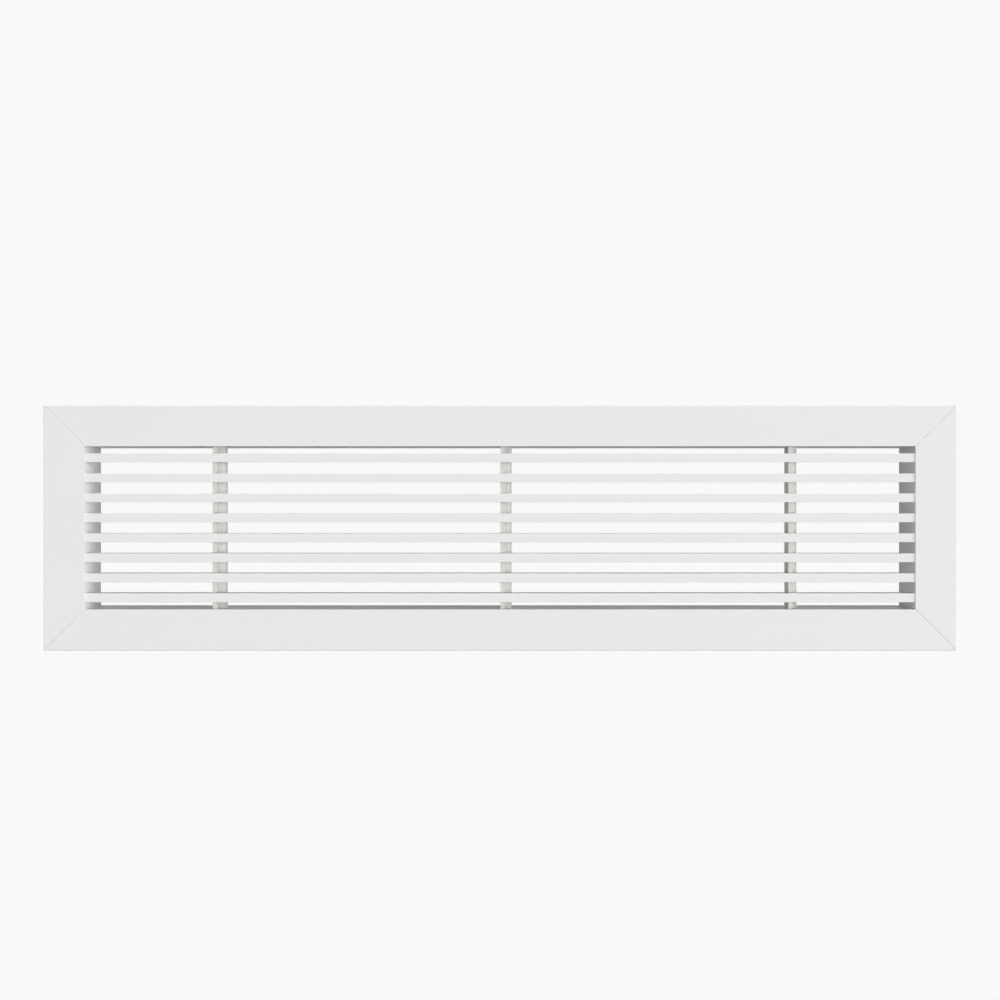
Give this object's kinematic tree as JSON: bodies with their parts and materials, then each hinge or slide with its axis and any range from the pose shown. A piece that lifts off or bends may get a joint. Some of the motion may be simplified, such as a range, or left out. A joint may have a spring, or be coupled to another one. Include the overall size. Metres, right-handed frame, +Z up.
{
  "type": "linear bar air grille",
  "caption": "Wall air grille: white mitred frame around fixed horizontal bar blades held by slotted mullions, with a rear collar, corner keys, foam seal and spring clips.",
  "frame": {"origin": "centre of the opening, in the plane of the wall that the back of the flange meets", "axes": "+Y into the wall (the face looks towards -Y), +Z up, +X along the blades to the right seen from the front"},
  "size_m": [0.57, 0.036, 0.1532],
  "materials": {
    "frame_coat": "satin white powder coat on aluminium",
    "blade_coat": "satin white powder coat on aluminium",
    "mullion_coat": "satin off-white powder coat on aluminium",
    "key_metal": "mill finish aluminium",
    "seal_foam": "closed cell foam, matte",
    "clip_steel": "bright spring steel",
    "rivet_metal": "bright aluminium"
  },
  "bodies": {
    "root": {"frame_top": "frame_coat", "frame_bottom": "frame_coat", "frame_left": "frame_coat", "frame_right": "frame_coat", "blade_1": "blade_coat", "blade_2": "blade_coat", "blade_3": "blade_coat", "blade_4": "blade_coat", "blade_5": "blade_coat", "blade_6": "blade_coat", "blade_7": "blade_coat", "blade_8": "blade_coat", "mullion_1": "mullion_coat", "mullion_2": "mullion_coat", "mullion_3": "mullion_coat", "corner_key_top_left": "key_metal", "corner_key_top_right": "key_metal", "corner_key_bottom_left": "key_metal", "corner_key_bottom_right": "key_metal", "seal_top": "seal_foam", "seal_bottom": "seal_foam", "seal_left": "seal_foam", "seal_right": "seal_foam", "spring_clip_top_1": "clip_steel", "spring_clip_top_2": "clip_steel", "spring_clip_bottom_1": "clip_steel", "spring_clip_bottom_2": "clip_steel", "clip_rivets": "rivet_metal"}
  },
  "joints": []
}
